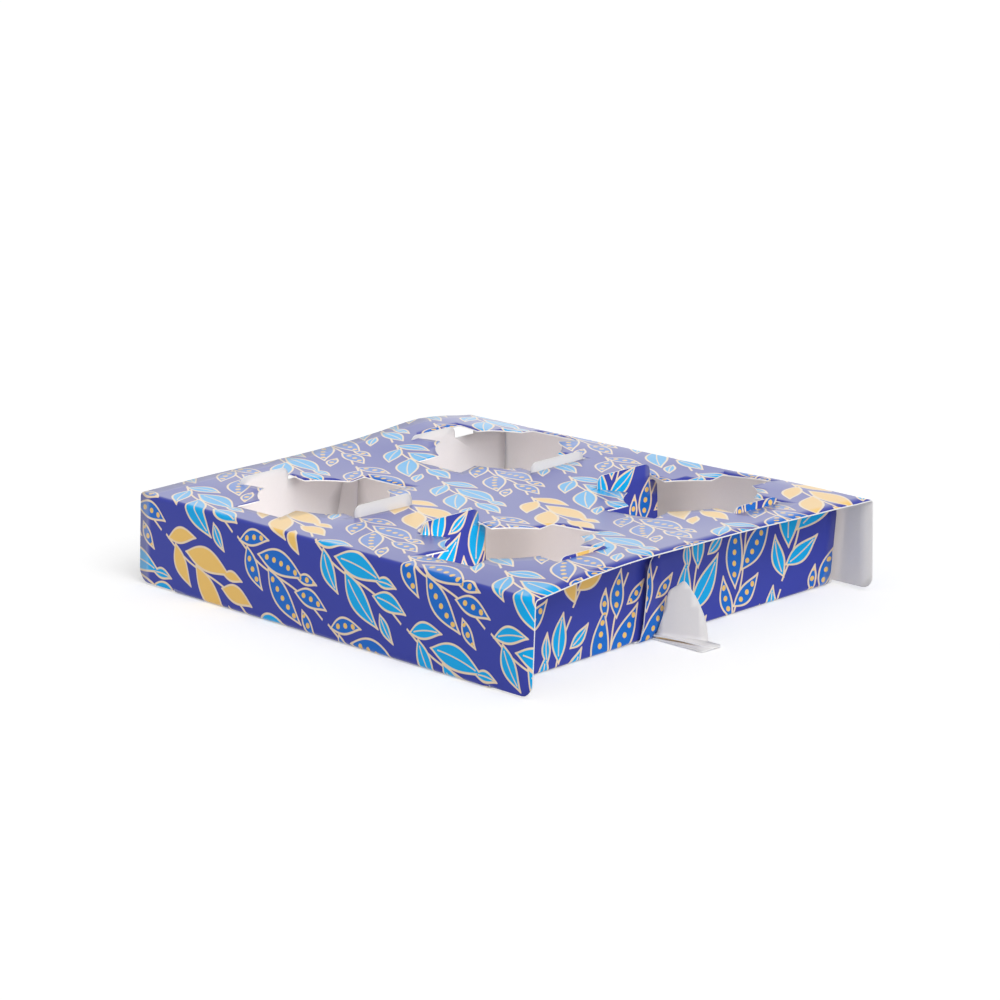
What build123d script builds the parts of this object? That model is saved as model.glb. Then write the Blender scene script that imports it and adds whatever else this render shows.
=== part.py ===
# Four-cup carrier folded from one die-cut sheet of board, in millimetres.
# X runs along the carrier, Y across it, Z up; the origin is at the middle of the foot.
#
# The sheet goes round as a sleeve: the near bottom half, the near side, the top, the far side
# and the far bottom half. The near half's free edge stands up as a partition. Each bottom half
# has a flap at both ends that folds up into an end wall, and two flaps punched out of its own
# middle that stand up as cross walls under the cup openings. All of them end in a tab that
# comes up through the top. Both halves run out under the end walls as a two-ply tongue, and
# part of the upper ply stands up as a small arched tab in front of each end wall.
import os

from build123d import *

# Board and creases
board = 0.5
crease_radius = 0.55      # inside radius of every fold
ply_gap = 0.5             # air between two plies that lie on each other without glue
cut_gap = 0.3             # width of a punched cut, and a tab's clearance in its lobe

# Overall sizes
top_length = 220.0
top_width = 180.0
height = 36.2
side_lean = 2.4           # how far the foot of each side stands out past the top
ear_corner = 5.0
ear_rise = 1.2            # the ears' lower edges stay this far off the table

# Cup openings
cup_pitch_x = 105.4
cup_pitch_y = 94.8        # the two rows lie evenly about the partition
bore_radius = 25.8
lobe_neck = 20.0
side_lobe_mouth = 25.4
side_lobe_reach = 33.5    # of the lobes that point at the sides and at the middle
barb_radius = 1.0

# End walls
wall_recess = 19.5        # from the end of the top to the outside of the wall's foot
wall_lean = 2.0           # how far a wall leans in between foot and top
wall_height = 34.7
wall_corner = 5.0
wall_side_gap = 1.6       # between a flap's outer edge and the side panel
far_flap_reach = 14.0     # the far flap's free edge, beyond the middle
wall_tab_width = 24.6
wall_tab_rise = 3.8       # above the top

# Cross walls punched out of the bottom halves
channel_width = 36.0      # between the two rows of cross walls
cross_width = 37.0
cross_shoulder = 34.2
cross_tab_width = 29.4
cross_tab_rise = 4.8      # above the top
tab_corner = 3.0

# Partition and glued lap
partition_y = 3.0         # from the top's middle; the near half ends there
partition_gap = 1.4       # under the top, and before the end walls
glue_lap = 22.0

# Tongues and arched tabs that stick out at both ends
tongue_side = 10.0        # the near edge, from the middle
tongue_width = 11.0       # of the lower ply
tongue_length = 24.5
tip_length = 25.6         # of the upper ply, to its rounded tip
tip_width = 5.0
tip_radius = 2.0
ply_lift = 0.8            # how far the upper ply rises outside the wall
arch_start = 0.8          # from the end wall
arch_length = 19.3
arch_height = 20.6
arch_turn = 27.0          # degrees between the arched tab and the carrier's length

# Worked out from the sizes above
bend = crease_radius + board / 2
far_level = board / 2
near_level = far_level + board
top_level = height - board / 2
side_top = top_width / 2 - board / 2
outer_wall = top_length / 2 - wall_recess - board / 2
inner_wall = outer_wall - board - ply_gap
wall_face = outer_wall + board / 2
cross_x = channel_width / 2
near_row = partition_y - cup_pitch_y / 2
far_row = partition_y + cup_pitch_y / 2
upper_level = near_level + ply_lift


def side_y(level):
    """Middle of a side panel's board at this height."""
    return side_top + side_lean * (1 - level / top_level)


def wall_x(foot, level):
    """Middle of an end wall's board at this height."""
    return foot - wall_lean * level / height


def folded(*points, radius=bend):
    """Section of the board, creased at each point between the first and the last."""
    return trace(FilletPolyline(*points, radius=radius), line_width=board)


def along_x(section, start, end):
    """A section drawn as (Y, Z), run along the carrier."""
    return extrude(Plane.YZ.offset(start) * section, end - start)


def along_y(section, start, end):
    """A section drawn as (X, Z), run across the carrier."""
    return extrude(Plane.XZ.offset(-end) * section, end - start)


def rounded(shape, radius, picked):
    """The shape with those corners rounded for which picked(x, y) is true."""
    return fillet([v for v in shape.vertices() if picked(v.X, v.Y)], radius)


def tabbed_flap(left, right, shoulder, corner, tab_middle, tab_width, tip):
    """Flap outline from the fold up: shoulders with rounded corners, and a rounded tab."""
    body = Pos((left + right) / 2, shoulder / 2) * Rectangle(right - left, shoulder)
    body = rounded(body, corner, lambda x, y: y > shoulder / 2)
    rise = tip - shoulder / 2
    tab = Pos(tab_middle, tip - rise / 2) * Rectangle(tab_width, rise)
    return body + rounded(tab, tab_corner, lambda x, y: y > tip - tab_corner)


def cross_flap():
    """Outline of a cross wall, drawn from its fold line up."""
    half = cross_width / 2
    return tabbed_flap(-half, half, cross_shoulder, tab_corner, 0, cross_tab_width,
                       height + cross_tab_rise)


def cup_opening(outer_reach):
    """Round opening with a dovetail lobe on each side; +X is the lobe at the end wall."""
    inner_reach = cup_pitch_x / 2 - (cross_x - board / 2 - cut_gap)
    lobes = (
        (0, outer_reach, wall_tab_width + 2 * cut_gap),
        (90, side_lobe_reach, side_lobe_mouth),
        (180, inner_reach, cross_tab_width + 2 * cut_gap),
        (270, side_lobe_reach, side_lobe_mouth),
    )
    shape = Circle(bore_radius)
    for angle, reach, mouth in lobes:
        lobe = make_face(Polyline(
            (0, -lobe_neck / 2), (bore_radius * 0.8, -lobe_neck / 2), (reach, -mouth / 2),
            (reach, mouth / 2), (bore_radius * 0.8, lobe_neck / 2), (0, lobe_neck / 2),
            close=True))
        shape += Rot(0, 0, angle) * lobe
    return rounded(shape, barb_radius, lambda x, y: True)


def near_half():
    """Half the top, the near side and the near bottom half, between the end walls."""
    section = folded((0, top_level), (-side_top, top_level),
                     (-side_y(near_level), near_level), (partition_y - bend, near_level))
    reach = inner_wall - bend
    return along_x(section, -reach, reach)


def far_half():
    """Half the top, the far side and the far bottom half with its glue lap."""
    section = folded((0, top_level), (side_top, top_level),
                     (side_y(far_level), far_level), (partition_y - glue_lap, far_level))
    reach = outer_wall - bend
    return along_x(section, -reach, reach)


def ear(side, start):
    """End of the top and of one side panel, which reach past the end wall at +X."""
    section = folded((0, top_level), (side * side_top, top_level), (side * side_y(0), 0))
    end = top_length / 2
    profile = Pos((start + end) / 2, (ear_rise + height) / 2) * Rectangle(
        end - start, height - ear_rise)
    profile = rounded(profile, ear_corner, lambda x, y: x > start + 1 and y < height / 2)
    return along_x(section, start, end) & along_y(profile, -top_width, top_width)


def partition():
    """Standing edge of the near bottom half, along the middle."""
    tip = height - board - partition_gap
    section = folded((partition_y, tip), (partition_y, near_level),
                     (partition_y - 2 * bend, near_level))
    foot = inner_wall - bend
    head = wall_x(inner_wall, tip) - partition_gap
    profile = make_face(Polyline((-foot, 0), (foot, 0), (head, tip), (-head, tip), close=True))
    profile = rounded(profile, tab_corner, lambda x, y: y > 1)
    return along_x(section, -foot, foot) & along_y(profile, -top_width, top_width)


def end_flap(foot, level, left, right, tab_middle):
    """One end flap at +X, creased up from its bottom half."""
    tip = height + wall_tab_rise
    section = folded((foot - 3 * bend, level), (foot, level), (wall_x(foot, tip), tip))
    outline = tabbed_flap(left, right, wall_height, wall_corner, tab_middle, wall_tab_width, tip)
    return along_y(section, left, right) & along_x(outline, 0, top_length)


def cross_wall(middle, level):
    """One cross wall at +X, standing up from its bottom half."""
    tip = height + cross_tab_rise
    section = folded((cross_x - 3 * bend, level), (cross_x, level), (cross_x, tip))
    outline = Pos(middle, 0) * cross_flap()
    half = cross_width / 2
    return along_y(section, middle - half, middle + half) & along_x(outline, 0, top_length)


def cross_window(middle):
    """The hole that a cross wall leaves, which is the flap's own outline laid flat."""
    flat = Pos(cross_x - bend, middle) * Rot(0, 0, -90) * offset(cross_flap(), cut_gap)
    keep = Pos(cross_x - bend + height, middle) * Rectangle(2 * height, top_width / 2)
    return extrude(flat & keep, height / 2)


def arched_outline():
    """Arched tab, drawn as (along its crease, up)."""
    shoulder = (0.2 * arch_length, 0.8 * arch_height)
    peak = (0.46 * arch_length, arch_height)
    lower_left = Line((0, 0), shoulder)
    upper_left = Bezier(shoulder, (0.24 * arch_length, 0.94 * arch_height),
                        (0.33 * arch_length, arch_height), peak)
    right = Bezier(peak, (0.73 * arch_length, arch_height),
                   (0.91 * arch_length, 0.48 * arch_height), (arch_length, 0))
    return make_face([lower_left, upper_left, right, Line((arch_length, 0), (0, 0))])


def tongue_slot():
    """Low slot in the far flap's fold at +X, through which both plies run out."""
    high = upper_level + board / 2 + cut_gap
    middle = tongue_width / 2 - tongue_side
    slot = Pos(middle, high / 2) * Rectangle(tongue_width + 2 * cut_gap, high)
    return along_x(slot, outer_wall - bend, top_length)


def tongue():
    """Tongue at +X: a plain lower ply, and an upper one with the arched tab creased up from it."""
    near = -tongue_side
    far = near + tongue_width
    root = outer_wall - 3 * bend
    end = wall_face + tongue_length
    lower = Pos((root + end) / 2, near + tongue_width / 2) * Rectangle(end - root, tongue_width)
    lower = rounded(lower, tip_radius, lambda x, y: x > wall_face)
    plies = extrude(lower, board)

    crease = Location((wall_face + arch_start, near), (0, 0, arch_turn))
    crease_end = (crease * Pos(arch_length, 0)).position
    tip = wall_face + tip_length
    upper = make_face(Polyline(
        (root, near), (crease.position.X, near), (tip - tip_width, crease_end.Y - tip_width),
        (tip, crease_end.Y - tip_width / 2), (tip - tip_width / 3, crease_end.Y + board),
        (crease_end.X + board, crease_end.Y + board), (crease_end.X, crease_end.Y),
        (crease.position.X, near + board), (crease.position.X, far), (root, far), close=True))
    upper = rounded(upper, tip_radius, lambda x, y: x > tip - tip_width / 2)
    rise = folded((root, near_level), (outer_wall - bend, near_level),
                  (wall_face + bend, upper_level), (tip, upper_level), radius=2 * bend)
    plies += along_y(rise, near, crease_end.Y + board) & extrude(upper, height)

    strip = along_x(folded((-bend, 0), (0, 0), (0, arch_height + board)), 0, arch_length)
    strip = strip & along_y(arched_outline(), -2 * bend, bend)
    return plies + Pos(0, 0, upper_level) * crease * strip


def mirrored(shape):
    """The shape and its copy at the carrier's other end."""
    return shape + mirror(shape, about=Plane.YZ)


def carrier():
    """The whole folded sheet."""
    near_start = inner_wall - bend
    far_start = outer_wall - bend
    sheet = near_half() + far_half() + mirrored(ear(-1, near_start) + ear(1, far_start))

    cup_x = cup_pitch_x / 2
    for row, wall in ((near_row, inner_wall), (far_row, outer_wall)):
        tab_face = wall_x(wall, height) + board / 2
        opening = cup_opening(tab_face + cut_gap - cup_x)
        cut = Pos(cup_x, row, height - 2 * board) * extrude(opening, 3 * board)
        sheet -= mirrored(cut)
        sheet -= mirrored(cross_window(row))

    wall_side = side_top - wall_side_gap
    end = end_flap(outer_wall, far_level, -far_flap_reach, wall_side, far_row) - tongue_slot()
    end += end_flap(inner_wall, near_level, -wall_side, -tongue_side - cut_gap, near_row)
    end += cross_wall(near_row, near_level) + cross_wall(far_row, far_level)
    end += tongue()
    return sheet + partition() + mirrored(end)


os.makedirs("parts", exist_ok=True)
export_step(carrier(), "parts/carrier.step")
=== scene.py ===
import math

import bmesh
import bpy
from mathutils import Euler, Matrix, Vector


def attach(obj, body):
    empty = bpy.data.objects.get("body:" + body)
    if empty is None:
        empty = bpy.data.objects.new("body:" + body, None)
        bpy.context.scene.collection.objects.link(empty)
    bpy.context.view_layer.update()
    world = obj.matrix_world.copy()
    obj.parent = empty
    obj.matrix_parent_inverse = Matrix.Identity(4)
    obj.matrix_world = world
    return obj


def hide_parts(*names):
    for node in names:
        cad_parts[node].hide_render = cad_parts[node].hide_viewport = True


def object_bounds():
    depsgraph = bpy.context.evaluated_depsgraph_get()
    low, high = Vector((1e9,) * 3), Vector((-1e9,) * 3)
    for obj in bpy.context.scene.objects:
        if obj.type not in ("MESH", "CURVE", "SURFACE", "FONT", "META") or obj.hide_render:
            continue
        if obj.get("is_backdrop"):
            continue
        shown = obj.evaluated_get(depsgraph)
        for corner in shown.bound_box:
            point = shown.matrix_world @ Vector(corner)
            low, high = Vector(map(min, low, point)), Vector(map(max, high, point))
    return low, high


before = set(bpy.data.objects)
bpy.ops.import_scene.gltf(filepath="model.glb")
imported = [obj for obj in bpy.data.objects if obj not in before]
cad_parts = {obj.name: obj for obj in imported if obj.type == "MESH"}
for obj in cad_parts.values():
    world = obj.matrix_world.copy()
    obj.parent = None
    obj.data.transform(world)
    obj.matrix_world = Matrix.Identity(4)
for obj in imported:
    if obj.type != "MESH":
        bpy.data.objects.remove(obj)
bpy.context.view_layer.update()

# The carrier is one die-cut sheet. It is drawn flat, in millimetres, with the printed side up
# and the top panel in its own place, then creased from the outer flaps inwards.
# u and v are the flat sheet's axes; x, y and z are the folded carrier's.
# A near and a far value belong to the sheet's two bottom halves, at -y and at +y.

board = {
    "thickness": 0.5,
    "creaseRadius": 0.8,      # of the middle of the board, as all the radii here
    "creaseSteps": 5,
    "nearFoldRadius": 1.4,
    "nearFoldSteps": 8,
    "farFoldRadius": 1.2,
    "farFoldSteps": 6,
    "bendMargin": 0.5,        # from a bend to the grid line just outside it
    "cornerSteps": 5,
    "gridPitch": 7.5,         # largest face of the mesh
    "gridReach": 140.0,
    "flapMargin": 0.2,        # from the ears' edge to where a wall's own vertices start
    "merge": 0.001,           # vertices closer than this become one
    "cut": 0.0005,            # no cut is made this close to a vertex
    "straight": 0.002,        # an edge of the grid keeps its line to within this
    "onLine": 0.003,          # and lies no further from it than this
    "touch": 0.01,            # closer than this is in the same place
}
topPanel = {
    "halfLength": 110.0,
    "halfWidth": 89.75,
    "level": 35.95,
    "earFoot": 1.2,           # the ears end this far above the table
    "earRadius": 5.0,
}
sides = {
    "lean": 2.4,              # how far the foot stands out past the top
    "nearLevel": 0.75,        # the near bottom half lies on the far one
    "farLevel": 0.25,
    "lapEdge": -19.0,
    "slit": 0.3,
}
cups = {
    "x": 53.2,
    "rows": (-44.4, 50.4),
    "radius": 25.8,
    "arcSteps": 6,
    "neck": 10.6,             # half width of a lobe where it leaves the circle
    "sideReach": (32.4, 33.5),  # of the far and the near lobe
    "sideMouth": 25.4,
    "outerGap": 1.2,          # from the end wall's foot in to the outer lobe's end
    "outerMouth": 25.2,
    "innerMouth": 30.0,
    "innerReach": 35.75,
    "barbRadius": 0.8,
    "barbSteps": 3,
}
walls = {
    "nearX": 89.25,
    "farX": 90.25,
    "lean": 2.0,              # inwards, over this height
    "leanHeight": 36.2,
    "shoulder": 34.7,
    "tip": 40.0,
    "tabWidth": 24.6,
    "tabRadius": 3.0,
    "cornerRadius": 5.0,
    "sideEdge": 88.15,
    "nearEdge": -10.3,        # y of the near wall's free edge, at its foot
    "nearEdgeTop": -3.0,
    "nearEdgeRadius": 1.5,
    "farEdge": ((0, -18.0), (9, -15.8), (20, -13.0)),  # of the far wall's, as (z, y)
    "farEdgeCorner": -12.2,
    "farEdgeRadius": 12.0,
}
crossWalls = {
    "x": 18.0,
    "width": 37.0,
    "shoulder": 34.2,
    "tabWidth": 29.4,
    "tip": 41.0,
    "radius": 3.0,
}
partition = {"y": 3.0, "tip": 34.3, "endGap": 1.4, "radius": 3.0}
tongues = {
    "near": -10.0,
    "far": 1.0,
    "slotHeight": 2.1,
    "slotSide": 0.3,
    "slotStart": 0.4,         # before the far wall's crease
    "end": 115.0,
    "lift": 0.8,              # of the upper ply outside the wall
    "liftU": (88.0, 92.0),
    "tip": 116.1,
    "tipRadius": 1.8,
    # (from the tip, from the arch's end, radius) of the corners at the upper ply's end
    "tipCorners": ((-5, 5, 3.0), (0, 2.6, 1.8), (-1.6, -0.8, 1.8)),
    "tipReturn": (1.0, -0.8),  # from the arch's end to the corner beside it
    "archStart": (91.2, -10.0),
    "archTurn": math.radians(27),
    "archLength": 20.3,
    "archRadius": 1.2,
    "archNick": 0.02,         # keeps the arch's outline off the ply's near edge
    # (along, up, radius) of the corners between its two feet, above what its bend takes up
    "archOutline": ((2.9, 8.2, 0), (5.1, 18.4, 1.1), (7.6, 20.1, 1.3), (10.8, 21.9, 0.7),
                    (12.5, 20.1, 1.1), (16.0, 14.9, 2.6), (19.1, 7.4, 2.6)),
    "archBase": 0.6,
    "archRows": (5, 8.5, 12, 15.5, 19),
    "archColumns": (3, 5, 6.2, 7.2, 8.4, 9.4, 10.6, 13, 16),
    "archCrease": 7.8,        # its free part turns a little further from here on
    "archBend": math.radians(6),
    "archBendZ": (1, 10),
}


def outset(radius, turn):
    # Distance from where a bend starts to the corner that its two straight parts point at.
    return radius * math.tan(turn / 2)


creaseTurn = math.pi / 2
creaseOut = outset(board["creaseRadius"], creaseTurn)
sideLean = math.atan2(sides["lean"], topPanel["level"])
wallLean = math.atan2(walls["lean"], walls["leanHeight"])
wallTurn = math.pi / 2 + wallLean
wallOut = outset(board["creaseRadius"], wallTurn)


def layOut(side, level, foldRadius, foldSteps, wallX):
    # Where the folds of one side lie on the flat sheet, outwards from the middle.
    topTurn = math.pi / 2 - sideLean
    footTurn = math.pi / 2 + sideLean
    topOut = outset(foldRadius, topTurn)
    footOut = outset(board["creaseRadius"], footTurn)
    sideLength = (topPanel["level"] - level) / math.cos(sideLean)
    footY = topPanel["halfWidth"] + sides["lean"] * (1 - level / topPanel["level"])
    topFold = topPanel["halfWidth"] - topOut
    sideStart = topFold + foldRadius * topTurn
    footFold = sideStart + sideLength - topOut - footOut
    bottomStart = footFold + board["creaseRadius"] * footTurn
    return {
        "side": side, "level": level, "foldRadius": foldRadius, "foldSteps": foldSteps,
        "topFold": topFold, "topTurn": topTurn, "sideStart": sideStart,
        "footFold": footFold, "footTurn": footTurn, "bottomStart": bottomStart,
        "bottomEdge": bottomStart + footY - footOut,
        "earEdge": sideStart - topOut
        + (topPanel["level"] - topPanel["earFoot"]) / math.cos(sideLean),
        "wallX": wallX, "hinge": wallX - wallOut,
    }


near = layOut(-1, sides["nearLevel"], board["nearFoldRadius"], board["nearFoldSteps"],
              walls["nearX"])
far = layOut(1, sides["farLevel"], board["farFoldRadius"], board["farFoldSteps"],
             walls["farX"])


def flatV(half, y):
    # Place on the flat sheet of a line that runs along a bottom half at y.
    return half["side"] * (half["bottomEdge"] - half["side"] * y)


def wallU(half, z):
    # Place on the flat sheet of a line at height z on an end wall.
    return (half["wallX"] - 2 * wallOut + board["creaseRadius"] * wallTurn
            + (z - half["level"]) / math.cos(wallLean))


def crossU(half, z):
    # The same on a cross wall.
    radius = board["creaseRadius"]
    return crossWalls["x"] - 2 * radius + radius * creaseTurn + z - half["level"]


crossHinge = crossWalls["x"] - creaseOut
partitionFold = flatV(near, partition["y"] - creaseOut)


def outline(corners):
    # Closed outline in a mesh of its own, from (u, v, radius of the rounding) corners.
    part = bmesh.new()
    verts = [part.verts.new((u, v, topPanel["level"])) for u, v, radius in corners]
    part.faces.new(verts)
    for wanted in sorted({radius for u, v, radius in corners if radius > 0}):
        picked = [vert for vert, corner in zip(verts, corners) if corner[2] == wanted]
        bmesh.ops.bevel(part, geom=picked, affect="VERTICES", offset=wanted,
                        segments=board["cornerSteps"], profile=0.5, material=-1)
    return part


def addLoop(mesh, part):
    # Copies an outline's edges into the sheet and returns them.
    made = {v: mesh.verts.new(v.co) for v in part.verts}
    edges = [mesh.edges.new((made[e.verts[0]], made[e.verts[1]])) for e in part.edges]
    part.free()
    return edges


def fill(mesh, edges, tag):
    # Fills what the edges enclose with faces of one kind.
    made = bmesh.ops.triangle_fill(mesh, use_beauty=True, use_dissolve=tag in (plyTag, archTag),
                                   edges=edges, normal=(0, 0, 1))
    for item in made["geom"]:
        if isinstance(item, bmesh.types.BMFace):
            item.material_index = tag


def wallCorners(half, row, outerEdge, freeEdge):
    # Corners of an end wall from its side edge to its free edge.
    v = lambda y: flatV(half, y)
    shoulder, tip = wallU(half, walls["shoulder"]), wallU(half, walls["tip"])
    away = 1 if outerEdge > row else -1
    tabOuter = row + away * walls["tabWidth"] / 2
    tabInner = row - away * walls["tabWidth"] / 2
    return [
        (half["hinge"], v(outerEdge), 0),
        (shoulder, v(outerEdge), walls["cornerRadius"]),
        (shoulder, v(tabOuter), 0),
        (tip, v(tabOuter), walls["tabRadius"]),
        (tip, v(tabInner), walls["tabRadius"]),
        (shoulder, v(tabInner), 0),
        *freeEdge,
    ]


def sheetCorners():
    # Outline of the half of the sheet where u is above 0, from the partition to the lap.
    partitionEnd = partitionFold - board["creaseRadius"] * creaseTurn - (
        partition["tip"] - near["level"] - creaseOut)
    partitionHead = (walls["nearX"] - walls["lean"] * partition["tip"] / walls["leanHeight"]
                     - partition["endGap"])
    nearHinge, farHinge, slit = near["hinge"], far["hinge"], sides["slit"]
    return [
        (0, partitionEnd, 0),
        (partitionHead, partitionEnd, partition["radius"]),
        (nearHinge, partitionFold, 0),
        (nearHinge, flatV(near, tongues["far"]), 0),
        (nearHinge, flatV(near, tongues["near"]), 0),
        *wallCorners(near, cups["rows"][0], -walls["sideEdge"], [
            (wallU(near, walls["shoulder"]), flatV(near, walls["nearEdgeTop"]),
             walls["nearEdgeRadius"]),
            (nearHinge, flatV(near, walls["nearEdge"]), 0)])[::-1],
        (nearHinge, -near["footFold"], 0),
        (nearHinge + slit, -near["footFold"], 0),
        (nearHinge + slit, -near["earEdge"], 0),
        (topPanel["halfLength"], -near["earEdge"], topPanel["earRadius"]),
        (topPanel["halfLength"], far["earEdge"], topPanel["earRadius"]),
        (farHinge + slit, far["earEdge"], 0),
        (farHinge + slit, far["footFold"], 0),
        (farHinge, far["footFold"], 0),
        *wallCorners(far, cups["rows"][1], walls["sideEdge"], [
            (wallU(far, walls["shoulder"]), flatV(far, walls["farEdgeCorner"]),
             walls["farEdgeRadius"]),
            *[(wallU(far, z) if z else farHinge, flatV(far, y), 0)
              for z, y in walls["farEdge"][::-1]]]),
        (farHinge, flatV(far, sides["lapEdge"]), 0),
        (0, flatV(far, sides["lapEdge"]), 0),
    ]


def cupLoop(mesh, half, row):
    # Round opening with a dovetail lobe on each side, as edges in the sheet.
    part = bmesh.new()
    centre = Vector((cups["x"], row, topPanel["level"]))
    lobes = ((half["wallX"] - cups["x"] - cups["outerGap"], cups["outerMouth"]),
             (cups["sideReach"][0], cups["sideMouth"]),
             (cups["innerReach"], cups["innerMouth"]),
             (cups["sideReach"][1], cups["sideMouth"]))
    neckTurn = math.asin(cups["neck"] / cups["radius"])
    ring, tips = [], []
    for number, (reach, mouth) in enumerate(lobes):
        turn = Euler((0, 0, number * math.pi / 2))
        for across in (-1, 1):
            tip = Vector((reach, across * mouth / 2, 0))
            tip.rotate(turn)
            ring.append(part.verts.new(centre + tip))
            tips.append(ring[-1])
        neck = Vector((math.cos(neckTurn), math.sin(neckTurn), 0)) * cups["radius"]
        neck.rotate(turn)
        first = part.verts.new(centre + neck)
        before = set(part.verts)
        bmesh.ops.spin(part, geom=[first], cent=centre, axis=(0, 0, 1), steps=cups["arcSteps"],
                       angle=math.pi / 2 - 2 * neckTurn)
        arc = [first] + [v for v in part.verts if v not in before]
        ring += sorted(arc, key=lambda v: math.atan2(*(v.co - centre).yx) % (2 * math.pi))
    for a, b in zip(ring, ring[1:] + ring[:1]):
        if not part.edges.get((a, b)):
            part.edges.new((a, b))
    part.faces.new(ring)
    bmesh.ops.bevel(part, geom=tips, affect="VERTICES", offset=cups["barbRadius"],
                    segments=cups["barbSteps"], profile=0.5, material=-1)
    return addLoop(mesh, part)


def crossCorners(half, row):
    shoulder, tip = crossU(half, crossWalls["shoulder"]), crossU(half, crossWalls["tip"])
    v = lambda y: flatV(half, y)
    wide, narrow = crossWalls["width"] / 2, crossWalls["tabWidth"] / 2
    radius = crossWalls["radius"]
    return [
        (crossHinge, v(row - wide), 0), (shoulder, v(row - wide), radius),
        (shoulder, v(row - narrow), 0), (tip, v(row - narrow), radius),
        (tip, v(row + narrow), radius), (shoulder, v(row + narrow), 0),
        (shoulder, v(row + wide), radius), (crossHinge, v(row + wide), 0),
    ]


print("sheet: outline, openings and flaps")
# kinds of face: the sheet with its walls, cross walls, a tongue's plies and its arch
sheetTag, crossTag, plyTag, archTag = 0, 1, 2, 3
flat = bmesh.new()
rim = addLoop(flat, outline(sheetCorners()))
for half, row in zip((near, far), cups["rows"]):
    rim += cupLoop(flat, half, row)
crossLoops = [addLoop(flat, outline(crossCorners(half, row)))
              for half, row in zip((near, far), cups["rows"])]
slotTop = wallU(far, tongues["slotHeight"])
slotFoot = far["hinge"] - tongues["slotStart"]
slotNear = flatV(far, tongues["near"] - tongues["slotSide"])
slotFar = flatV(far, tongues["far"] + tongues["slotSide"])
plyNear, plyFar = flatV(far, tongues["near"]), flatV(far, tongues["far"])
rim += addLoop(flat, outline([
    (slotFoot, slotNear, 0), (slotTop, slotNear, 0), (slotTop, slotFar, 0),
    (slotFoot, slotFar, 0), (slotFoot, plyFar, 0), (slotFoot, plyNear, 0)]))
fill(flat, rim + [e for loop in crossLoops for e in loop], sheetTag)
for loop in crossLoops:
    fill(flat, loop, crossTag)

# the tongue: a plain lower ply on the far half, an upper one with its arch on the near half
fill(flat, addLoop(flat, outline([
    (slotFoot, plyNear, 0), (tongues["end"], plyNear, tongues["tipRadius"]),
    (tongues["end"], plyFar, tongues["tipRadius"]), (slotFoot, plyFar, 0)])), plyTag)
archStart = Vector((tongues["archStart"][0], flatV(near, tongues["archStart"][1]), 0))
archAlong = Vector((math.cos(tongues["archTurn"]), -math.sin(tongues["archTurn"]), 0))
archOver = Vector((-math.sin(tongues["archTurn"]), -math.cos(tongues["archTurn"]), 0))
archEnd = archStart + archAlong * tongues["archLength"]
archFoot = (archStart.x + tongues["archNick"], archStart.y - tongues["archNick"], 0)
plyRoot = near["hinge"]
fill(flat, addLoop(flat, outline([
    (plyRoot, flatV(near, tongues["near"]), 0),
    (archStart.x, archStart.y, 0),
    *[(tongues["tip"] + u, archEnd.y + v, radius) for u, v, radius in tongues["tipCorners"]],
    (archEnd.x + tongues["tipReturn"][0], archEnd.y + tongues["tipReturn"][1], 0),
    (archEnd.x, archEnd.y, 0),
    archFoot,
    (archStart.x, flatV(near, tongues["far"]), 0),
    (plyRoot, flatV(near, tongues["far"]), 0)])), plyTag)
archCorners = [archFoot]
for along, up, radius in tongues["archOutline"]:
    point = archStart + archAlong * along + archOver * (up + tongues["archBase"])
    archCorners.append((point.x, point.y, radius))
archCorners.append((archEnd.x, archEnd.y, 0))
fill(flat, addLoop(flat, outline(archCorners)), archTag)
bmesh.ops.remove_doubles(
    flat, dist=board["merge"],
    verts=[v for v in flat.verts if any(f.material_index in (plyTag, archTag) for f in v.link_faces)
           or min(abs(v.co.x - slotFoot), abs(v.co.x - plyRoot)) < board["touch"]])

print("sheet: mirror, cuts and grid")
bmesh.ops.mirror(flat, geom=flat.verts[:] + flat.edges[:] + flat.faces[:],
                 merge_dist=board["merge"], axis="X")
bmesh.ops.reverse_faces(flat, faces=[f for f in flat.faces if f.normal.z < 0])
bmesh.ops.split_edges(flat, edges=[
    e for e in flat.edges
    if len(e.link_faces) == 2 and sum(f.material_index == crossTag for f in e.link_faces) == 1
    and not all(abs(abs(v.co.x) - crossHinge) < board["touch"] for v in e.verts)])
gridLines = {0: set(), 1: set()}


def bisect(mesh, place, normal, keep):
    # Cuts the faces that keep() is true of, and notes the line for tidyGrid().
    for axis in (0, 1):
        if abs(normal[axis]) == 1:
            gridLines[axis].add(round(place[axis], 4))
    faces = [f for f in mesh.faces if keep(f)]
    edges = {e for f in faces for e in f.edges}
    verts = {v for f in faces for v in f.verts}
    bmesh.ops.bisect_plane(mesh, geom=[*verts, *edges, *faces], dist=board["cut"],
                           plane_co=place, plane_no=normal)


def spread(low, high, pitch):
    count = max(1, math.ceil((high - low) / pitch))
    return [low + (high - low) * step / count for step in range(count + 1)]


def bendLines(start, radius, turn, steps):
    # Grid lines across a bend, with one more just outside each end.
    arc = radius * turn
    return [start - board["bendMargin"],
            *[start + arc * step / steps for step in range(steps + 1)],
            start + arc + board["bendMargin"]]


def creaseLines(start, turn):
    return bendLines(start, board["creaseRadius"], turn, board["creaseSteps"])


def middle(face):
    return face.calc_center_median()


def onBottom(face):
    return abs(middle(face).y) > (far if middle(face).y > 0 else near)["bottomStart"]


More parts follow.
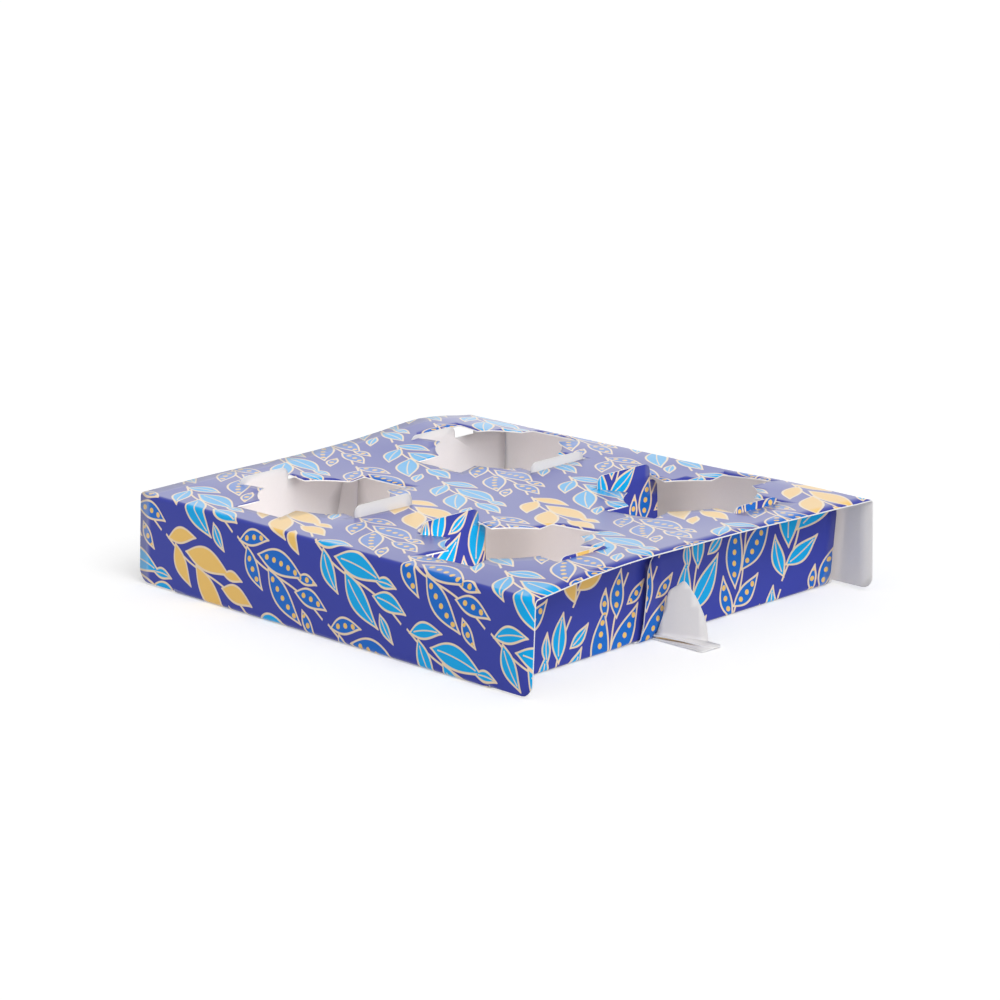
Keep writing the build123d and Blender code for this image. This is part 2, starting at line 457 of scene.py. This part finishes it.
lines = [-place for place in creaseLines(-partitionFold, creaseTurn)]
for half in (near, far):
    bends = bendLines(half["topFold"], half["foldRadius"], half["topTurn"], half["foldSteps"])
    lines += [half["side"] * place
              for place in bends + creaseLines(half["footFold"], half["footTurn"])]
sheetEnds = [min(v.co.y for v in flat.verts), max(v.co.y for v in flat.verts)]
panelEdges = sorted(lines + sheetEnds)
for low, high in zip(panelEdges, panelEdges[1:]):
    if high - low > board["gridPitch"]:
        lines += spread(low, high, board["gridPitch"])[1:-1]
for v in sorted(lines):
    bisect(flat, (0, v, 0), (0, 1, 0), lambda f: f.material_index != archTag
           and min(p.co.y for p in f.verts) < v < max(p.co.y for p in f.verts))

for side in (-1, 1):
    for u in spread(0, board["gridReach"], board["gridPitch"])[(side > 0):]:
        bisect(flat, (side * u, 0, 0), (1, 0, 0), lambda f: f.material_index != archTag)
    for half in (near, far):
        for u in creaseLines(half["hinge"], wallTurn):
            bisect(flat, (side * u, 0, 0), (1, 0, 0), lambda f: f.material_index == sheetTag
                   and middle(f).y * half["side"] > half["bottomStart"])
    for u in creaseLines(crossHinge, creaseTurn):
        bisect(flat, (side * u, 0, 0), (1, 0, 0), onBottom)
    start = Vector((archStart.x * side, archStart.y, 0))
    over = Vector((archOver.x * side, archOver.y, 0))
    along = Vector((archAlong.x * side, archAlong.y, 0))
    rows = bendLines(0, tongues["archRadius"], creaseTurn, board["creaseSteps"])
    for normal, reaches in ((over, [*rows, *tongues["archRows"]]),
                            (along, tongues["archColumns"])):
        for reach in reaches:
            bisect(flat, start + normal * reach, normal,
                   lambda f: f.material_index == archTag and middle(f).x * side > 0)


def tidyGrid(mesh):
    # Takes out the fill's own edges, so that the grid's faces are left.
    spare = []
    for edge in mesh.edges:
        a, b = (v.co for v in edge.verts)
        faces = edge.link_faces
        if len(faces) != 2 or len({archTag, *[f.material_index for f in faces]}) != 2:
            continue
        onGrid = any(abs(a[axis] - b[axis]) < board["straight"]
                     and any(abs(a[axis] - line) < board["onLine"] for line in gridLines[axis])
                     for axis in (0, 1))
        if not onGrid:
            spare.append(edge)
    bmesh.ops.dissolve_edges(mesh, edges=spare, use_verts=False, use_face_split=False)
    loose = [v for v in mesh.verts if len(v.link_edges) == 2 and not v.is_boundary]
    bmesh.ops.dissolve_verts(mesh, verts=loose)


tidyGrid(flat)
# the print keeps its place on the flat sheet, which fits in a square of this width
printSpan = 560.0
uvLayer = flat.loops.layers.uv.new("printPlace")
for face in flat.faces:
    for loop in face.loops:
        loop[uvLayer].uv = (0.5 + loop.vert.co.x / printSpan, 0.5 + loop.vert.co.y / printSpan)

print("sheet: creases")
flat.verts.ensure_lookup_table()
flat.verts.index_update()
home = [v.co.copy() for v in flat.verts]
tagOf = [{f.material_index for f in v.link_faces} for v in flat.verts]


def fold(picked, start, direction, radius, turn):
    # Bends the picked vertices down from the printed side, from the line through start on.
    # Where a vertex lay on the flat sheet says how much of the bend it takes.
    for vert in picked:
        place = home[vert.index]
        bent = min(max((place.xy - start.xy).dot(direction.xy), 0), radius * turn)
        angle = bent / radius
        reach = (vert.co.xy - start.xy).dot(direction.xy)
        lift = vert.co.z - topPanel["level"]
        onward = radius * math.sin(angle) + (reach - bent) * math.cos(angle) \
            + lift * math.sin(angle)
        down = radius * (1 - math.cos(angle)) + (reach - bent) * math.sin(angle) \
            - lift * math.cos(angle)
        vert.co += direction * (onward - reach)
        vert.co.z = topPanel["level"] - down


def pick(test):
    return [v for v in flat.verts if test(home[v.index].x, home[v.index].y, tagOf[v.index])]


for side in (-1, 1):
    outward = Vector((side, 0, 0))
    fold(pick(lambda u, v, tags: archTag in tags and u * side > 0),
         Vector((archStart.x * side, archStart.y, 0)),
         Vector((archOver.x * side, archOver.y, 0)), tongues["archRadius"], creaseTurn)
    for half in (near, far):
        fold(pick(lambda u, v, tags: sheetTag in tags
                  and u * side > half["hinge"] - board["merge"]
                  and v * half["side"] > half["earEdge"] + board["flapMargin"]),
             outward * half["hinge"], outward, board["creaseRadius"], wallTurn)
    fold(pick(lambda u, v, tags: crossTag in tags and u * side > 0),
         outward * crossHinge, outward, board["creaseRadius"], creaseTurn)
fold(pick(lambda u, v, tags: sheetTag in tags and v < partitionFold
          and abs(u) < near["hinge"] + board["touch"]),
     Vector((0, partitionFold, 0)), Vector((0, -1, 0)), board["creaseRadius"], creaseTurn)
for half in (near, far):
    side = half["side"]
    outward = Vector((0, side, 0))
    fold(pick(lambda u, v, tags: v * side > half["footFold"] - board["merge"]
              and (abs(u) < half["hinge"] + board["touch"]
                   or v * side > half["earEdge"] + board["flapMargin"])),
         outward * half["footFold"], outward, board["creaseRadius"], half["footTurn"])
    fold(pick(lambda u, v, tags: v * side > half["topFold"] - board["merge"]),
         outward * half["topFold"], outward, half["foldRadius"], half["topTurn"])

print("sheet: soft shape")
# A value's X, Y, Z or U says where along that axis it starts and where it is there in full.
shape = {
    # rise of the top over its flat level, in columns of x for each row of y
    "riseX": (-110, -70, -42, -30, -18, 0, 38, 66, 110),
    "rise": (
        (-90, (0.0, 0.0, 0.0, 0.0, 0.0, 0.1, 0.0, 0.0, 0.0)),
        (-78, (0.1, -0.1, 0.0, -0.2, 0.1, 0.1, 0.5, 1.2, 1.2)),
        (-60, (0.4, 1.0, 0.5, -1.0, 0.3, 0.2, 0.9, 2.1, 3.0)),
        (-40, (0.4, 0.1, -0.2, -0.5, 0.0, 0.0, 0.3, 1.7, 3.95)),
        (-14, (0.2, -0.8, -0.7, -0.5, -0.4, -0.3, -0.7, 0.6, 3.75)),
        (17, (0.8, 0.1, -0.3, -0.5, -0.4, -0.5, -1.3, 0.2, 3.3)),
        (36, (1.9, 2.2, 0.9, -0.9, 0.3, 0.0, -0.4, 1.2, 2.7)),
        (58, (3.5, 2.9, 1.7, 0.9, 0.7, 0.4, 0.1, 1.5, 1.9)),
        (72, (2.3, 2.5, 1.8, 1.2, 0.8, 0.5, 0.0, 1.7, 1.5)),
        (84, (0.4, 0.8, 1.0, 0.9, 0.8, 0.7, 0.4, 2.0, 0.9)),
        (90, (-0.3, -0.2, 0.2, 0.3, 0.4, 0.5, 0.8, 1.0, 0.9)),
    ),
    "nearSideBulge": 0.9,
    "nearFootSag": 0.5,       # the near bottom half comes down to the table beside the lap
    "sagY": (-20, -28),
    "sagZ": (3, 1),
    "nearWallDent": 0.8,      # how far the near wall's free edge has gone in at the front
    "dentY": (-26, -12),
    "dentZ": (0, 9),
    "tongueDrop": 1.1,        # the upper ply comes down again towards its fold
    "dropX": (98.025, 116.1),
    "farEdgeFlare": 2.0,      # how far the far edge stands out at the front end
    "flareU": (10, 110),
    "flareY": (60, 90),
    # outward shift of the far wall at the front, as (y, shift): all of it, and its top more
    "wallShift": ((-17, 1.8), (-8, 0.6), (10, 0), (70, 0), (88, 1.3)),
    "wallTopShift": ((-17, 0), (0, 0), (34, -1.6), (62, -1.6), (77, 2.2), (88, 6.0)),
    "shiftZ": (0, 3),         # of the first of the two
    # how far a standing tab has slid along its wall and sunk, as (side, row, slide, drop)
    "tabSlides": ((-1, 0, -1.6, 0), (-1, 1, -4.0, 0), (1, 0, 1.7, 0), (1, 1, 1.4, 0.4)),
    "crossSlides": ((-1, 0, -0.6, 0), (-1, 1, -1.5, 0.7), (1, 0, 0.5, 0), (1, 1, -0.6, 0)),
    "slideU": 25,             # beyond a wall's crease, where its upper part begins
    "slideY": (18, 12.5),     # from the row's middle
    "slideZ": (27, 36),
    "sinkZ": (30, 38),
}


def through(points, place):
    # Smooth curve through the points.
    place = min(max(place, points[0][0]), points[-1][0])
    slopes = [(b[1] - a[1]) / (b[0] - a[0]) for a, b in zip(points, points[1:])]
    tangents = [slopes[0], *[(a + b) / 2 for a, b in zip(slopes, slopes[1:])], slopes[-1]]
    for number, (a, b) in enumerate(zip(points, points[1:])):
        if place <= b[0]:
            span = b[0] - a[0]
            t = (place - a[0]) / span
            return ((2 * t**3 - 3 * t**2 + 1) * a[1] + (t**3 - 2 * t**2 + t) * span
                    * tangents[number] + (-2 * t**3 + 3 * t**2) * b[1]
                    + (t**3 - t**2) * span * tangents[number + 1])
    return points[-1][1]


def clamped(t):
    return min(max(t, 0), 1)


def ramp(value, span):
    # 0 before the span, 1 beyond it, and a soft S between.
    t = clamped((value - span[0]) / (span[1] - span[0]))
    return t * t * (3 - 2 * t)


def topRise(x, y):
    rows = [(place, through(list(zip(shape["riseX"], rises)), x))
            for place, rises in shape["rise"]]
    return through(rows, y)


for vert in flat.verts:
    u, v = home[vert.index].x, home[vert.index].y
    tags = tagOf[vert.index]
    if abs(v) < (near if v < 0 else far)["footFold"]:
        # the sides hang from the top's edge, and their feet stay where they are
        vert.co.z += clamped(vert.co.z / topPanel["level"]) * topRise(u, vert.co.y)
    if -near["footFold"] < v < -near["sideStart"]:
        height = vert.co.z / topPanel["level"]
        along = 1 - (u / topPanel["halfLength"])**2
        vert.co.y -= shape["nearSideBulge"] * math.sin(math.pi * height) * along
    if v > far["bottomStart"] and sheetTag in tags and u > far["hinge"]:
        height = vert.co.z / topPanel["level"]
        vert.co.x += ramp(vert.co.z, shape["shiftZ"]) * through(shape["wallShift"], vert.co.y) \
            + height * through(shape["wallTopShift"], vert.co.y)
    else:
        vert.co.y += shape["farEdgeFlare"] * ramp(u, shape["flareU"]) \
            * ramp(vert.co.y, shape["flareY"]) * clamped(vert.co.z / topPanel["level"])
    if v < -near["bottomStart"] and sheetTag in tags and u > near["hinge"]:
        vert.co.x -= shape["nearWallDent"] * ramp(vert.co.z, shape["dentZ"]) \
            * ramp(vert.co.y, shape["dentY"])
    if v < -near["sideStart"]:
        vert.co.z -= shape["nearFootSag"] * ramp(vert.co.y, shape["sagY"]) \
            * ramp(vert.co.z, shape["sagZ"])
    if tags & {plyTag, archTag} and v < 0:
        vert.co.z += tongues["lift"] * ramp(abs(u), tongues["liftU"]) \
            - shape["tongueDrop"] * ramp(abs(vert.co.x), shape["dropX"])
    if archTag in tags:
        side = math.copysign(1, u)
        foot = Vector((tongues["archStart"][0] * side, tongues["archStart"][1], 0))
        along = Vector((archAlong.x * side, -archAlong.y, 0))
        over = (vert.co - foot).dot(along) - tongues["archCrease"]
        if over > 0:
            turn = tongues["archBend"] * ramp(vert.co.z, tongues["archBendZ"])
            inward = Vector((-along.y * side, along.x * side, 0))
            vert.co += along * over * (math.cos(turn) - 1) + inward * over * math.sin(turn)

for tag, slides, foot in ((sheetTag, shape["tabSlides"], walls["nearX"]),
                          (crossTag, shape["crossSlides"], crossWalls["x"])):
    for side, number, slide, drop in slides:
        half, row = (near, far)[number], cups["rows"][number]
        for vert in pick(lambda u, v, tags: tag in tags and v * half["side"] > half["bottomStart"]
                         and u * side > foot + shape["slideU"]):
            across = ramp(abs(vert.co.y - row), shape["slideY"]) if tag == sheetTag else 1
            vert.co.y += slide * across * ramp(vert.co.z, shape["slideZ"])
            vert.co.z -= drop * ramp(vert.co.z, shape["sinkZ"])


def newObject(name, data):
    made = bpy.data.objects.new(name, data)
    bpy.context.scene.collection.objects.link(made)
    return made


millimetre = 0.001
bmesh.ops.scale(flat, vec=(millimetre,) * 3, verts=flat.verts[:])
for face in flat.faces:
    face.material_index = 0
    face.smooth = True
carrierMesh = bpy.data.meshes.new("carrier_sheet")
flat.to_mesh(carrierMesh)
flat.free()
carrier = newObject("carrier_sheet", carrierMesh)
thick = carrier.modifiers.new("board", "SOLIDIFY")
thick.thickness = board["thickness"] * millimetre
thick.offset = 0
thick.use_rim = True
thick.material_offset = 1
thick.material_offset_rim = 2
print("sheet: faces", len(carrierMesh.polygons))

print("materials")
printed = {
    "ground": (0.045, 0.061, 0.400),
    "cyan": (0.001, 0.43, 0.89),
    "blue": (0.008, 0.160, 0.63),
    "gold": (0.96, 0.61, 0.17),
    "line": (0.93, 0.74, 0.52),
    # one sprig in each cell of slanting rows, all in millimetres on the flat sheet
    "rowTurn": math.radians(24),
    "cell": (58.0, 24.0),
    "rowShift": 0.37,         # of a cell, from each row to the next
    # which sprigs: (step for each row, out of, limit)
    "dotted": (2.0, 5.0, 2.5),
    "golden": (3.0, 7.0, 0.5),
    "lineWidth": 0.85,
    "ribWidth": 0.5,
    "dotPitch": 4.2,
    "dotRadius": 1.05,
    "softEdge": 0.12,
    # of one sprig: place, angle, half length, half width and bow of each leaf
    "leaves": (
        ((-1.0, 4.4), 14, 13.5, 4.4, 1.2),
        ((5.5, -4.8), -20, 13.0, 4.3, -1.2),
        ((19.0, 2.4), 12, 9.0, 3.3, 0.9),
        ((-13.5, -4.9), -34, 9.0, 3.3, -1.2),
        ((-18.5, 4.4), 34, 8.5, 3.0, 1.1),
        ((14.0, 8.0), 20, 5.5, 1.9, 0.6),
        ((21.5, -6.6), -30, 6.0, 2.1, -0.7),
    ),
    "tLimit": 1.5,            # furthest place along a leaf that counts, where 1 is its end
    "leafTaper": 1.25,
    "leafWaist": 0.3,         # how much narrower a leaf is towards its tip
    "ribReach": 0.74,         # share of a leaf's half length that rib and dots keep to
    "stem": (27.0, 1.6, 8.5),  # its half length, sway and wave
    "beyond": 9.0,            # added to a distance that mustn't count
    "glossFacing": (0.35, 0.72),
    "grazingGloss": 1.0,
    "shader": {"Roughness": 0.30, "Specular IOR Level": 0.15, "Coat Roughness": 0.3,
               "Coat IOR": 1.68},
}
paper = {
    "inside": (0.81, 0.79, 0.795),
    "edge": (0.94, 0.94, 0.94),
    "fibreScale": 900,
    "fibreDetail": 4,
    "fibreShade": 0.96,
    "bump": {"Strength": 0.08, "Distance": 0.0002},
    "shader": {"Roughness": 0.7},
}


def newMaterial(name, settings):
    material = bpy.data.materials.new(name)
    material.use_nodes = True
    shader = material.node_tree.nodes["Principled BSDF"]
    for socket, value in settings.items():
        shader.inputs[socket].default_value = value
    return material, material.node_tree, shader


def feed(tree, socket, value):
    # Links a socket, or sets it to a number or to an (r, g, b) colour.
    if isinstance(value, bpy.types.NodeSocket):
        tree.links.new(value, socket)
    else:
        socket.default_value = (*value, 1) if isinstance(value, tuple) else value


def calc(tree, operation, *values):
    node = tree.nodes.new("ShaderNodeMath")
    node.operation = operation
    for socket, value in zip(node.inputs, values):
        feed(tree, socket, value)
    return node.outputs[0]


def plus(tree, a, b):
    return calc(tree, "ADD", a, b)


def minus(tree, a, b):
    return calc(tree, "SUBTRACT", a, b)


def times(tree, a, b):
    return calc(tree, "MULTIPLY", a, b)


def lowest(tree, values):
    found = values[0]
    for value in values[1:]:
        found = calc(tree, "MINIMUM", found, value)
    return found


def blend(tree, share, below, above):
    # From one colour to another; sockets 0, 6 and 7 are the mix node's own for colours.
    node = tree.nodes.new("ShaderNodeMix")
    node.data_type = "RGBA"
    for number, value in ((0, share), (6, below), (7, above)):
        feed(tree, node.inputs[number], value)
    return node.outputs[2]


def softStep(tree, value, start, end, before, after):
    node = tree.nodes.new("ShaderNodeMapRange")
    node.interpolation_type = "SMOOTHSTEP"
    for name, given in (("Value", value), ("From Min", start), ("From Max", end),
                        ("To Min", before), ("To Max", after)):
        feed(tree, node.inputs[name], given)
    return node.outputs[0]


def band(tree, distance, edge):
    # 1 where the distance is under the edge, with a short soft step in millimetres
    soft = printed["softEdge"]
    return softStep(tree, distance, edge - soft, edge + soft, 1, 0)


def leaf(tree, x, y, place, angle, halfLength, halfWidth, bow):
    # Distances to a pointed leaf with a bowed rib, to its rib, and to a row of dots on the rib.
    c, s = math.cos(angle), math.sin(angle)
    dx, dy = minus(tree, x, place[0]), minus(tree, y, place[1])
    along = plus(tree, times(tree, dx, c), times(tree, dy, s))
    across = minus(tree, times(tree, dy, c), times(tree, dx, s))
    # t is -1 and 1 at the leaf's ends; it is held so that its square stays small
    t = calc(tree, "DIVIDE", along, halfLength)
    t = calc(tree, "MINIMUM", calc(tree, "MAXIMUM", t, -printed["tLimit"]), printed["tLimit"])
    body = minus(tree, 1.0, times(tree, t, t))
    across = minus(tree, across, times(tree, body, bow))
    waist = minus(tree, 1.0, times(tree, t, printed["leafWaist"]))
    taper = calc(tree, "POWER", calc(tree, "MAXIMUM", body, 0.0), printed["leafTaper"])
    outside = calc(tree, "MINIMUM", body, 0.0)
    width = times(tree, plus(tree, outside, times(tree, taper, waist)), halfWidth)
    rib = calc(tree, "ABSOLUTE", across)
    pastRib = calc(tree, "GREATER_THAN", calc(tree, "ABSOLUTE", t), printed["ribReach"])
    pastRib = times(tree, pastRib, printed["beyond"])
    steps = plus(tree, calc(tree, "DIVIDE", along, printed["dotPitch"]), 0.5)
    step = times(tree, minus(tree, calc(tree, "FRACT", steps), 0.5), printed["dotPitch"])
    dots = calc(tree, "SQRT", plus(tree, times(tree, step, step), times(tree, across, across)))
    return minus(tree, rib, width), plus(tree, rib, pastRib), plus(tree, dots, pastRib)


def sprigCell(tree):
    # Place in a sprig's own cell, and the cell's row and column.
    place = tree.nodes.new("ShaderNodeUVMap")
    place.uv_map = "printPlace"
    split = tree.nodes.new("ShaderNodeSeparateXYZ")
    tree.links.new(place.outputs[0], split.inputs[0])
    u, v = (times(tree, minus(tree, split.outputs[axis], 0.5), printSpan) for axis in (0, 1))
    c, s = math.cos(printed["rowTurn"]), math.sin(printed["rowTurn"])
    along = minus(tree, times(tree, u, c), times(tree, v, s))
    over = plus(tree, times(tree, u, s), times(tree, v, c))
    cellLong, cellWide = printed["cell"]
    rows = calc(tree, "DIVIDE", over, cellWide)
    row = calc(tree, "FLOOR", rows)
    y = times(tree, minus(tree, minus(tree, rows, row), 0.5), cellWide)
    columns = plus(tree, calc(tree, "DIVIDE", along, cellLong),
                   times(tree, row, printed["rowShift"]))
    column = calc(tree, "FLOOR", columns)
    x = times(tree, minus(tree, minus(tree, columns, column), 0.5), cellLong)
    return x, y, row, column


def everyFew(tree, row, column, kind, comparison):
    step, outOf, limit = printed[kind]
    number = calc(tree, "FLOORED_MODULO", plus(tree, times(tree, row, step), column), outOf)
    return calc(tree, comparison, number, limit)


def printMaterial():
    material, tree, shader = newMaterial("printed_board", printed["shader"])
    x, y, row, column = sprigCell(tree)
    leaves = [leaf(tree, x, y, place, math.radians(angle), *size)
              for place, angle, *size in printed["leaves"]]
    edge, rib, dot = (lowest(tree, distances) for distances in zip(*leaves))
    inside = band(tree, edge, 0.0)
    halfStem, sway, wave = printed["stem"]
    bend = times(tree, calc(tree, "SINE", calc(tree, "DIVIDE", x, wave)), sway)
    stem = calc(tree, "MAXIMUM", calc(tree, "ABSOLUTE", minus(tree, y, bend)),
                minus(tree, calc(tree, "ABSOLUTE", x), halfStem))
    # the stem goes under the leaves
    stem = plus(tree, stem, times(tree, inside, printed["beyond"]))
    lines = band(tree, lowest(tree, [calc(tree, "ABSOLUTE", edge), stem]),
                 printed["lineWidth"] / 2)
    ribbed = blend(tree, band(tree, rib, printed["ribWidth"] / 2), printed["cyan"],
                   printed["line"])
    dotted = blend(tree, band(tree, dot, printed["dotRadius"]), printed["blue"], printed["gold"])
    colour = blend(tree, everyFew(tree, row, column, "dotted", "GREATER_THAN"), ribbed, dotted)
    colour = blend(tree, everyFew(tree, row, column, "golden", "LESS_THAN"), colour,
                   printed["gold"])
    colour = blend(tree, inside, printed["ground"], colour)
    colour = blend(tree, lines, colour, printed["line"])
    tree.links.new(colour, shader.inputs["Base Color"])
    # the varnish shines at a slant
    slant = tree.nodes.new("ShaderNodeLayerWeight")
    slant.inputs["Blend"].default_value = 0.5
    gloss = softStep(tree, slant.outputs["Facing"], *printed["glossFacing"], 0.0,
                     printed["grazingGloss"])
    tree.links.new(gloss, shader.inputs["Coat Weight"])
    return material


def paperMaterial(name, tone):
    material, tree, shader = newMaterial(name, paper["shader"])
    place = tree.nodes.new("ShaderNodeTexCoord")
    noise = tree.nodes.new("ShaderNodeTexNoise")
    noise.inputs["Scale"].default_value = paper["fibreScale"]
    noise.inputs["Detail"].default_value = paper["fibreDetail"]
    tree.links.new(place.outputs["Object"], noise.inputs["Vector"])
    colour = blend(tree, noise.outputs["Fac"], tuple(paper["fibreShade"] * c for c in tone), tone)
    tree.links.new(colour, shader.inputs["Base Color"])
    bump = tree.nodes.new("ShaderNodeBump")
    for socket, value in paper["bump"].items():
        bump.inputs[socket].default_value = value
    tree.links.new(noise.outputs["Fac"], bump.inputs["Height"])
    tree.links.new(bump.outputs[0], shader.inputs["Normal"])
    return material


for material in (printMaterial(), paperMaterial("board_inside", paper["inside"]),
                 paperMaterial("board_edge", paper["edge"])):
    carrier.data.materials.append(material)
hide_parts("carrier")
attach(carrier, "root")

print("stage, lights and camera")
# all in metres
stage = {
    "floorHalf": 6.0,
    "floorLevel": -0.0002,
    "shader": {"Base Color": (0.78, 0.78, 0.78, 1), "Roughness": 0.9,
               "Specular IOR Level": 0.0, "Emission Color": (1, 1, 1, 1)},
    "glow": 0.34,             # for what the camera sees of the floor, not on the carrier
    "world": 0.56,            # on the carrier; the camera sees 1
}
lights = {
    "key": {"power": 1.5, "angles": (45, 0, 78), "size": 45},
    # small lamps under the top panel, for light that the white insides pass on many times,
    # as (name, x, y, power)
    "fills": (("fill_near", -0.042, -0.083, 0.020), ("fill_far", -0.042, 0.010, 0.017),
              ("fill_near", 0.043, -0.083, 0.0225), ("fill_far", 0.043, 0.010, 0.0125)),
    "fillSize": (0.060, 0.020),
    "fillColour": (1.0, 0.89, 0.82),
    "fillAngles": (92, 0, 0),
    "fillLevel": 0.018,
}
camera = {
    "place": (0.916103, -0.881166, 0.370013),
    "right": (0.69592733, 0.71794322, -0.01557829),
    "up": (-0.17244764, 0.18813944, 0.96688436),
    "lens": 122.16,
    "sensor": 36,
    "clip": (0.05, 40),
}


def isRay(tree, *kinds):
    # 1 for the named kinds of ray
    path = tree.nodes.new("ShaderNodeLightPath")
    found = path.outputs[kinds[0]]
    for kind in kinds[1:]:
        found = calc(tree, "MAXIMUM", found, path.outputs[kind])
    return found


def addLamp(name, kind, power, angles):
    lamp = bpy.data.lights.new(name, kind)
    lamp.energy = power
    holder = newObject(name, lamp)
    holder.rotation_euler = [math.radians(a) for a in angles]
    return lamp, holder


floorMesh = bpy.data.meshes.new("floor")
floorShape = bmesh.new()
bmesh.ops.create_grid(floorShape, x_segments=1, y_segments=1, size=stage["floorHalf"])
bmesh.ops.translate(floorShape, vec=(0, 0, stage["floorLevel"]), verts=floorShape.verts[:])
floorShape.to_mesh(floorMesh)
floorShape.free()
floor = newObject("floor", floorMesh)
floor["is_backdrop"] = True
material, tree, shader = newMaterial("floor", stage["shader"])
seen = isRay(tree, "Is Camera Ray", "Is Glossy Ray", "Is Transmission Ray")
tree.links.new(times(tree, seen, stage["glow"]), shader.inputs["Emission Strength"])
floor.data.materials.append(material)

world = bpy.data.worlds.new("studio")
bpy.context.scene.world = world
world.use_nodes = True
tree = world.node_tree
background = tree.nodes["Background"]
background.inputs["Color"].default_value = (1, 1, 1, 1)
seen = isRay(tree, "Is Camera Ray", "Is Glossy Ray")
tree.links.new(plus(tree, stage["world"], times(tree, seen, 1 - stage["world"])),
               background.inputs["Strength"])

lamp, holder = addLamp("key", "SUN", lights["key"]["power"], lights["key"]["angles"])
lamp.angle = math.radians(lights["key"]["size"])
for name, x, y, power in lights["fills"]:
    lamp, holder = addLamp(name, "AREA", power, lights["fillAngles"])
    lamp.shape = "RECTANGLE"
    lamp.size, lamp.size_y = lights["fillSize"]
    lamp.color = lights["fillColour"]
    holder.location = (x, y, lights["fillLevel"])
    holder.visible_camera = False

eye = bpy.data.cameras.new("eye")
eye.lens = camera["lens"]
eye.sensor_width = camera["sensor"]
eye.clip_start, eye.clip_end = camera["clip"]
holder = newObject("eye", eye)
right, up = Vector(camera["right"]), Vector(camera["up"])
holder.rotation_euler = Matrix((right, up, right.cross(up))).transposed().to_euler()
holder.location = camera["place"]
bpy.context.scene.camera = holder

bpy.context.scene.view_settings.view_transform = "Standard"
bpy.context.view_layer.update()
low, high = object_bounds()
